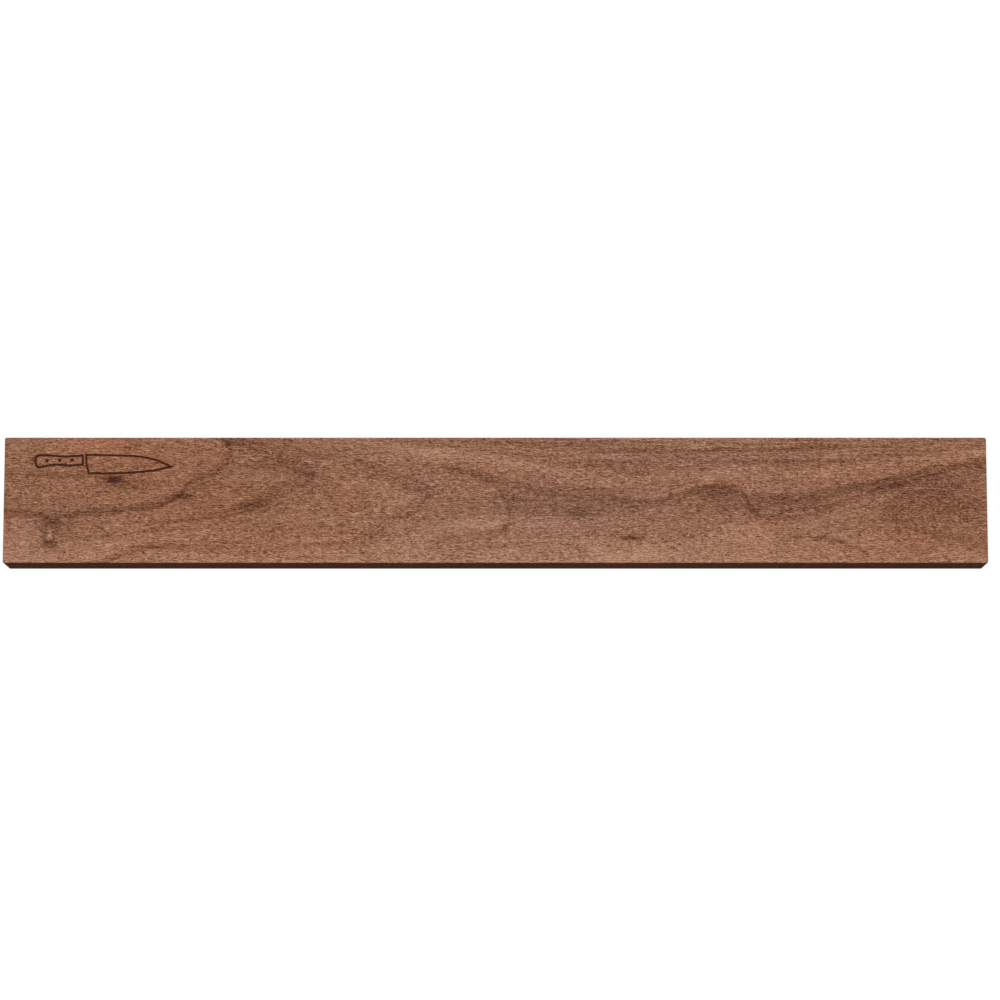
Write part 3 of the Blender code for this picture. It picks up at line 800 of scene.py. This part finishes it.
def add_turned(mesh, profile, centre, sides):
    """Turns a profile of (radius, Y) points about a line along Y, where its first and last points lie."""
    first = mesh.verts.new((centre[0], profile[0][1], centre[1]))
    last = mesh.verts.new((centre[0], profile[-1][1], centre[1]))
    rings = [ring_of(mesh, radius, y, centre, sides) for radius, y in profile[1:-1]]
    add_fan(mesh, first, rings[0])
    add_fan(mesh, last, rings[-1])
    for nearer, farther in zip(rings, rings[1:]):
        bridge(mesh, nearer, farther)


def ring_of(mesh, radius, y, centre, sides):
    return [mesh.verts.new((x, y, z)) for x, z in circle(centre, radius, sides)]


def finish_mesh(name, mesh):
    bmesh.ops.recalc_face_normals(mesh, faces=mesh.faces)
    data = bpy.data.meshes.new(name)
    mesh.to_mesh(data)
    mesh.free()
    return data


def new_object(name, data):
    obj = bpy.data.objects.new(name, data)
    bpy.context.scene.collection.objects.link(obj)
    return obj


def carve(obj, mesh):
    """Takes a helper solid out of an object."""
    cutter = new_object("cutter", finish_mesh("cutter", mesh))
    modifier = obj.modifiers.new("cut", "BOOLEAN")
    modifier.operation = "DIFFERENCE"
    modifier.object = cutter
    apply_modifiers(obj)
    bpy.data.objects.remove(cutter)


def round_edges(obj, radius, segments):
    modifier = obj.modifiers.new("edges", "BEVEL")
    modifier.width = radius
    modifier.segments = segments
    modifier.limit_method = "ANGLE"
    apply_modifiers(obj)


def apply_modifiers(obj):
    """Replaces an object's mesh with what its modifiers make of it."""
    evaluated = obj.evaluated_get(bpy.context.evaluated_depsgraph_get())
    data = bpy.data.meshes.new_from_object(evaluated)
    obj.modifiers.clear()
    obj.data = data


def shade_round(obj):
    """Shades curves smoothly, and keeps flat faces flat and sharp edges sharp."""
    obj.data.shade_smooth()
    obj.data.set_sharp_from_angle(angle=math.radians(SHARP_ABOVE_DEGREES))
    modifier = obj.modifiers.new("normals", "WEIGHTED_NORMAL")
    modifier.keep_sharp = True
    apply_modifiers(obj)


def present(obj, material, slot, *nodes):
    """Gives a piece its material and shading, puts it on the body and hides the nodes that it stands for. The
    slot is not used.
    """
    obj.data.materials.clear()
    obj.data.materials.append(material)
    shade_round(obj)
    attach(obj, BODY)
    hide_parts(*nodes)


def outline_box(node, grow=0.0):
    """The (X, Z) corners of a node's box, grown by a margin."""
    low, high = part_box(node)
    return (low.x - grow, low.z - grow), (high.x + grow, high.z + grow)


def nodes_named(start):
    return sorted(name for name in NODES if name.startswith(start))


def centre_of(node):
    low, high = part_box(node)
    return (low.x + high.x) / 2, (low.z + high.z) / 2


# The board


def mark_place(point):
    """A point of the mark, from its own millimetres to the board's metres."""
    left = CAD_BOX[0].x + MARK_LEFT
    bottom = CAD_BOX[1].z - MARK_BELOW_TOP
    return left + point[0] / 1000, bottom + point[1] / 1000


def add_groove(mesh, points, corners):
    """A cutter for a tapering groove that follows a closed line on the front face."""
    front = CAD_BOX[0].y
    taper = MARK_LINE_WIDTH / 4 / MARK_DEPTH
    floor = MARK_LINE_WIDTH / 4
    mouth = MARK_LINE_WIDTH / 2 + taper * MARK_OVERRUN
    sections = [(mouth, front - MARK_OVERRUN), (floor, front + MARK_DEPTH)]
    sections += [(-floor, front + MARK_DEPTH), (-mouth, front - MARK_OVERRUN)]
    rings = []
    for offset, y in sections:
        outline = smooth_outline(offset_outline(points, offset), corners)
        rings.append([mesh.verts.new((x, y, z)) for x, z in outline])
    for ring, other in zip(rings, rings[1:] + rings[:1]):
        bridge(mesh, ring, other)


def carve_mark(board):
    """Burns the knife's lines and its three rivets into the front face."""
    front = CAD_BOX[0].y
    for points, corners in MARK_LINES:
        mesh = bmesh.new()
        add_groove(mesh, [mark_place(point) for point in points], corners)
        carve(board, mesh)
    mesh = bmesh.new()
    floor = front + MARK_DEPTH
    profile = [(0.0, floor), (MARK_LINE_WIDTH / 2, floor), (MARK_LINE_WIDTH, front - MARK_OVERRUN)]
    profile.append((0.0, front - MARK_OVERRUN))
    for point in RIVET_POINTS:
        add_turned(mesh, profile, mark_place(point), RIVET_SIDES)
    carve(board, mesh)


def char_grooves(board):
    """Gives the second material to the faces just behind the front face, which only the grooves have."""
    front = CAD_BOX[0].y
    inner = BOARD_CORNER_RADIUS
    for face in board.data.polygons:
        behind = face.center.y - front
        inside = abs(face.center.x) < CAD_BOX[1].x - inner and abs(face.center.z) < CAD_BOX[1].z - inner
        if inside and SAME_POINT < behind < MARK_DEPTH + SAME_POINT:
            face.material_index = 1


def carve_back(board):
    """Routs the trough, magnet pockets, plate recesses and head pockets into the back."""
    trough_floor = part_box("steel_yoke")[0].y - GAP
    mesh = bmesh.new()
    low, high = outline_box("steel_yoke", GAP)
    add_prism(mesh, rounded_box(low, high, TROUGH_CORNER_RADIUS), trough_floor, OVERRUN)
    carve(board, mesh)
    mesh = bmesh.new()
    for node in nodes_named("magnet_"):
        low, high = outline_box(node, POCKET_CLEARANCE)
        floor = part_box(node)[0].y - GAP
        add_prism(mesh, rounded_box(low, high, POCKET_CORNER_RADIUS), floor, trough_floor + OVERRUN)
    carve(board, mesh)
    recesses = bmesh.new()
    pockets = bmesh.new()
    for node in nodes_named("keyhole_plate_"):
        low, high = outline_box(node, GAP)
        recess_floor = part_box(node)[0].y - GAP
        radius = (high[0] - low[0]) / 2
        add_prism(recesses, rounded_box(low, high, radius, 2 * CORNER_STEPS), recess_floor, OVERRUN)
        centre_x = centre_of(node)[0]
        pocket_low = (centre_x - HEAD_POCKET_RADIUS, KEYHOLE_ENTRY_HEIGHT - HEAD_POCKET_RADIUS)
        pocket_high = (centre_x + HEAD_POCKET_RADIUS, KEYHOLE_SLOT_TOP + HEAD_POCKET_RADIUS)
        outline = rounded_box(pocket_low, pocket_high, HEAD_POCKET_RADIUS, 2 * CORNER_STEPS)
        add_prism(pockets, outline, -HEAD_POCKET_DEPTH, OVERRUN)
    carve(board, recesses)
    carve(board, pockets)


def carve_pilots(board):
    """Holes for the screws' threads, a gap wider than the threads all round."""
    yoke_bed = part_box("steel_yoke")[0].y + OVERRUN
    mesh = bmesh.new()
    for family, radius in THREAD_RADII.items():
        for node in nodes_named(f"{family}_screw_"):
            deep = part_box(node)[0].y - GAP
            profile = [(0.0, deep), (radius + GAP, deep), (radius + GAP, yoke_bed), (0.0, yoke_bed)]
            if family == "plate":
                profile = countersunk_profile(node, radius, deep)
            add_turned(mesh, profile, centre_of(node), HOLE_SIDES)
    carve(board, mesh)


def countersunk_profile(node, thread_radius, deep):
    """Profile of a countersunk hole for a screw node, a gap wider than the screw all round."""
    low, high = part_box(node)
    head_radius = (high.x - low.x) / 2
    rim = high.y - SCREW_HEAD_RIM
    neck = rim - (head_radius - thread_radius)
    return [
        (0.0, deep),
        (thread_radius + GAP, deep),
        (thread_radius + GAP, neck),
        (head_radius + GAP, rim),
        (head_radius + GAP, OVERRUN),
        (0.0, OVERRUN),
    ]


def make_board(walnut, burnt):
    """The walnut board, its edges eased, its back routed and its front marked."""
    low, high = CAD_BOX
    outline = rounded_box((low.x, low.z), (high.x, high.z), BOARD_CORNER_RADIUS)
    mesh = bmesh.new()
    add_prism(mesh, outline, low.y, high.y)
    board = new_object("walnut_board", finish_mesh("walnut_board", mesh))
    round_edges(board, BOARD_EDGE_RADIUS, 4)
    carve_back(board)
    carve_pilots(board)
    carve_mark(board)
    present(board, walnut, "walnut", "front_board")
    board.data.materials.append(burnt)
    char_grooves(board)


# The batten and the keyhole plates


def make_batten(walnut):
    """The strip that closes the trough, with eased edges and countersunk holes."""
    low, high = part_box("closing_batten")
    outline = rounded_box((low.x, low.z), (high.x, high.z), TROUGH_CORNER_RADIUS - GAP)
    mesh = bmesh.new()
    add_prism(mesh, outline, low.y, high.y)
    batten = new_object("back_batten", finish_mesh("back_batten", mesh))
    round_edges(batten, BATTEN_EDGE_RADIUS, 2)
    holes = bmesh.new()
    for node in nodes_named("batten_screw_"):
        profile = countersunk_profile(node, THREAD_RADII["batten"], low.y - OVERRUN)
        add_turned(holes, profile, centre_of(node), HOLE_SIDES)
    carve(batten, holes)
    present(batten, walnut, "walnut_batten", "closing_batten")


def make_plate(node, zinc):
    """A steel plate with a keyhole and two countersunk holes, its edges rounded by tumbling."""
    low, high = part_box(node)
    centre_x = centre_of(node)[0]
    side = node.rsplit("_", 1)[1]
    outline = rounded_box((low.x, low.z), (high.x, high.z), (high.x - low.x) / 2, 2 * CORNER_STEPS)
    mesh = bmesh.new()
    add_prism(mesh, outline, low.y, high.y)
    plate = new_object(f"hanger_{side}", finish_mesh(f"hanger_{side}", mesh))
    holes = bmesh.new()
    add_prism(holes, keyhole_outline(centre_x), low.y - OVERRUN, high.y + OVERRUN)
    carve(plate, holes)
    round_edges(plate, PLATE_EDGE_RADIUS, 2)
    holes = bmesh.new()
    for screw in nodes_named(f"plate_screw_{side}"):
        profile = countersunk_profile(screw, THREAD_RADII["plate"], low.y - OVERRUN)
        add_turned(holes, profile, centre_of(screw), HOLE_SIDES)
    carve(plate, holes)
    present(plate, zinc, "zinc_plating", node)


# The screws
#
# The recess's shares are of the head's radius, and the others are of the thread's outer radius. But
# POINT_SHARE is what is left of the root's radius at the last turn, RECESS_WEB_SHARE is of an arm's half
# width, and RECESS_NARROWING is the recess's size at its full depth.

ROOT_SHARE = 0.7
PLAIN_SHANK_SHARE = 1.5
SHANK_STEP_SHARE = 0.3
THREAD_PITCH_SHARE = 0.87
POINT_SHARE = 0.3
RECESS_ARM_SHARE = 0.64
RECESS_HALF_WIDTH_SHARE = 0.15
RECESS_DEPTH_SHARE = 0.5
RECESS_NARROWING = 0.5
RECESS_WEB_SHARE = 1.25
ARM_END_STEPS = 6
TAPER_TURNS = 2
SCREW_TURN_DEGREES = 37.0


def thread_point(mesh, angle, radius, y):
    return mesh.verts.new((radius * math.cos(angle), y, radius * math.sin(angle)))


def add_thread(mesh, start_ring, start, tip, root_radius, crest_radius):
    """A helical thread from the ring where the plain shank ends down to a point on the axis."""
    pitch = THREAD_PITCH_SHARE * crest_radius
    sides = len(start_ring)
    steps = int((start - tip) / pitch * sides) - sides
    taper_steps = TAPER_TURNS * sides
    roots, crests = [], []
    for step in range(steps + 1):
        angle = 2 * math.pi * step / sides
        y = start - pitch * (step + 1) / sides
        taper = min(1.0, (steps - step) / taper_steps + POINT_SHARE)
        rise = min(1.0, step / sides, (steps - step) / sides)
        root = root_radius * taper
        roots.append(thread_point(mesh, angle, root, y))
        crest = root + (crest_radius - root_radius) * rise
        crests.append(thread_point(mesh, angle, crest, y - pitch / 2))
    for step in range(steps):
        mesh.faces.new((roots[step], roots[step + 1], crests[step + 1], crests[step]))
    for step in range(steps - sides):
        below = step + sides
        mesh.faces.new((crests[step], crests[step + 1], roots[below + 1], roots[below]))
    for side in range(sides):
        following = (side + 1) % sides
        mesh.faces.new((start_ring[side], start_ring[following], roots[side + 1], roots[side]))
    mesh.faces.new((start_ring[0], roots[0], crests[0], roots[sides]))
    add_fan(mesh, mesh.verts.new((0.0, tip, 0.0)), crests[steps - sides:] + [roots[steps]])


def screw_mesh(name, length, head_radius, crest_radius):
    """A countersunk wood screw along Y, with its head's face at Y = 0 and its point at Y = -length."""
    root_radius = ROOT_SHARE * crest_radius
    neck = -SCREW_HEAD_RIM - (head_radius - crest_radius)
    plain_end = neck - PLAIN_SHANK_SHARE * crest_radius
    thread_start = plain_end - SHANK_STEP_SHARE * crest_radius
    edge = SCREW_HEAD_RIM / 3
    mesh = bmesh.new()
    top = mesh.verts.new((0.0, 0.0, 0.0))
    levels = [(head_radius - edge, 0.0), (head_radius - edge / 4, -edge / 4), (head_radius, -edge)]
    levels += [(head_radius, -SCREW_HEAD_RIM), (crest_radius, neck)]
    levels += [(crest_radius, plain_end), (root_radius, thread_start)]
    rings = [ring_of(mesh, radius, y, (0.0, 0.0), SCREW_SIDES) for radius, y in levels]
    add_fan(mesh, top, rings[0])
    for upper, lower in zip(rings, rings[1:]):
        bridge(mesh, upper, lower)
    add_thread(mesh, rings[-1], thread_start, -length, root_radius, crest_radius)
    return finish_mesh(name, mesh)


def add_cross_recess(mesh, head_radius):
    """A cross-shaped driver recess with round-ended arms that narrows as it goes in."""
    arm = RECESS_ARM_SHARE * head_radius
    half_width = RECESS_HALF_WIDTH_SHARE * head_radius
    depth = RECESS_DEPTH_SHARE * head_radius
    end = arc((arm - half_width, 0.0), half_width, -90, 90, ARM_END_STEPS)
    outline = []
    for quarter in range(4):
        cosine = math.cos(math.pi / 2 * quarter)
        sine = math.sin(math.pi / 2 * quarter)
        corner = [(half_width * RECESS_WEB_SHARE, half_width * RECESS_WEB_SHARE)]
        outline += [(x * cosine - z * sine, x * sine + z * cosine) for x, z in end + corner]
    inner = [(RECESS_NARROWING * x, RECESS_NARROWING * z) for x, z in outline]
    add_prism(mesh, outline, depth, -depth, inner)


def make_screws(family, zinc):
    """Finer screws in the places of the frame's, each turned a little differently, as driven."""
    nodes = nodes_named(f"{family}_screw_")
    low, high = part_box(nodes[0])
    head_radius = (high.x - low.x) / 2
    data = screw_mesh(f"{family}_screw", high.y - low.y, head_radius, THREAD_RADII[family])
    screw = new_object(f"{family}_screw", data)
    recess = bmesh.new()
    add_cross_recess(recess, head_radius)
    carve(screw, recess)
    for number, node in enumerate(nodes):
        piece = new_object(node.replace("screw", "wood_screw"), screw.data.copy())
        x, z = centre_of(node)
        turn = SCREW_TURN_DEGREES * (number + 1)
        piece.rotation_euler = (0.0, math.radians(turn), 0.0)
        piece.location = (x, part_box(node)[1].y, z)
        present(piece, zinc, "zinc_plating", node)
    bpy.data.objects.remove(screw)


# The studio

# Each light's name, place, size and watts. All of them face the rack's middle.
LIGHTS = [
    ("key", (-0.9, -2.6, 1.9), (2.4, 1.6), 46),
    ("fill", (1.6, -2.4, 0.9), (2.0, 1.4), 26),
    ("rear_left", (-1.7, 2.3, 1.4), (2.4, 1.8), 62),
    ("rear_right", (1.8, 2.2, 1.0), (2.2, 1.6), 46),
]
FLOOR_SIDES = 96
FLOOR_FADE_MM = (600, 2600)
WHITE = (1.0, 1.0, 1.0, 1.0)
FLOOR_GREY = (0.86, 0.86, 0.86, 1.0)
BRIGHTEST_SKY = (0.0, -0.6, 0.8)
SKY_LEVELS = (-0.35, 0.9)
SKY_STRENGTH = 0.72
LOWEST_STRENGTH = 0.10
FLOOR_BOUNCE = (255, 214, 196)


def make_area_light(name, place, size, watts):
    data = bpy.data.lights.new(name, "AREA")
    data.shape = "RECTANGLE"
    data.size, data.size_y = size
    data.energy = watts
    light = new_object(name, data)
    light.location = place
    light.rotation_mode = "QUATERNION"
    light.rotation_quaternion = (-Vector(place)).to_track_quat("-Z", "Y")


def make_floor():
    """A pale round floor that brightens to the backdrop's white far out, so that no edge shows."""
    mesh = bmesh.new()
    mesh.faces.new([mesh.verts.new((x, y, 0.0)) for x, y in circle((0.0, 0.0), FLOOR_RADIUS, FLOOR_SIDES)])
    floor = new_object("studio_floor", finish_mesh("studio_floor", mesh))
    floor.location = (0.0, 0.0, CAD_BOX[0].z - FLOOR_DROP)
    material, tree, shader, place = new_material("studio_floor")
    shader.inputs["Base Color"].default_value = FLOOR_GREY
    shader.inputs["Roughness"].default_value = 0.9
    shader.inputs["Emission Color"].default_value = WHITE
    feed(tree, place.measure("LENGTH").smooth_step(*FLOOR_FADE_MM), shader.inputs["Emission Strength"])
    floor.data.materials.append(material)
    floor.visible_diffuse = False
    floor.visible_glossy = False


def make_backdrop():
    """White behind the object. It lights it from the front and above, and hardly at all from below."""
    world = bpy.data.worlds.new("studio")
    bpy.context.scene.world = world
    world.use_nodes = True
    tree = world.node_tree
    background = tree.nodes["Background"]
    output = tree.nodes["World Output"]
    coordinates = tree.nodes.new("ShaderNodeTexCoord")
    direction = Triple(tree, coordinates.outputs["Generated"])
    glow = direction.measure("DOT_PRODUCT", BRIGHTEST_SKY).smooth_step(*SKY_LEVELS)
    feed(tree, glow * SKY_STRENGTH + LOWEST_STRENGTH, background.inputs["Strength"])
    sky = ramp(tree, glow, [(0.0, linear(*FLOOR_BOUNCE)), (0.5, WHITE)])
    tree.links.new(sky, background.inputs["Color"])
    white = tree.nodes.new("ShaderNodeBackground")
    seen = tree.nodes.new("ShaderNodeLightPath")
    choice = tree.nodes.new("ShaderNodeMixShader")
    white.inputs["Color"].default_value = WHITE
    tree.links.new(seen.outputs["Is Camera Ray"], choice.inputs["Fac"])
    tree.links.new(background.outputs[0], choice.inputs[1])
    tree.links.new(white.outputs[0], choice.inputs[2])
    tree.links.new(choice.outputs[0], output.inputs["Surface"])


def make_camera():
    data = bpy.data.cameras.new("camera")
    data.lens = CAMERA_LENS_MM
    data.clip_start, data.clip_end = CAMERA_CLIP
    camera = new_object("camera", data)
    elevation = math.radians(CAMERA_ELEVATION_DEGREES)
    back = Vector((0.0, -math.cos(elevation), math.sin(elevation)))
    camera.location = CAMERA_AIM + back * CAMERA_DISTANCE
    camera.rotation_mode = "QUATERNION"
    camera.rotation_quaternion = (-back).to_track_quat("-Z", "Y")
    bpy.context.scene.camera = camera


def finish_hidden_parts():
    """The magnets and the yoke keep their own shapes and get their metals."""
    nickel = make_marked_metal("nickel_plating", **BRIGHT_NICKEL)
    steel = make_marked_metal("mild_steel", **ROLLED_STEEL)
    for node in nodes_named("magnet_"):
        NODES[node].data.materials[0] = nickel
    NODES["steel_yoke"].data.materials[0] = steel


def main():
    make_camera()
    make_backdrop()
    for light in LIGHTS:
        make_area_light(*light)
    make_floor()
    bpy.context.scene.view_settings.view_transform = "Standard"
    walnut = make_walnut("walnut", **BOARD_WOOD)
    walnut_batten = make_walnut("walnut_batten", **BATTEN_WOOD)
    zinc = make_zinc()
    make_board(walnut, make_burnt_wood())
    make_batten(walnut_batten)
    for node in nodes_named("keyhole_plate_"):
        make_plate(node, zinc)
    make_screws("batten", zinc)
    make_screws("plate", zinc)
    finish_hidden_parts()


main()
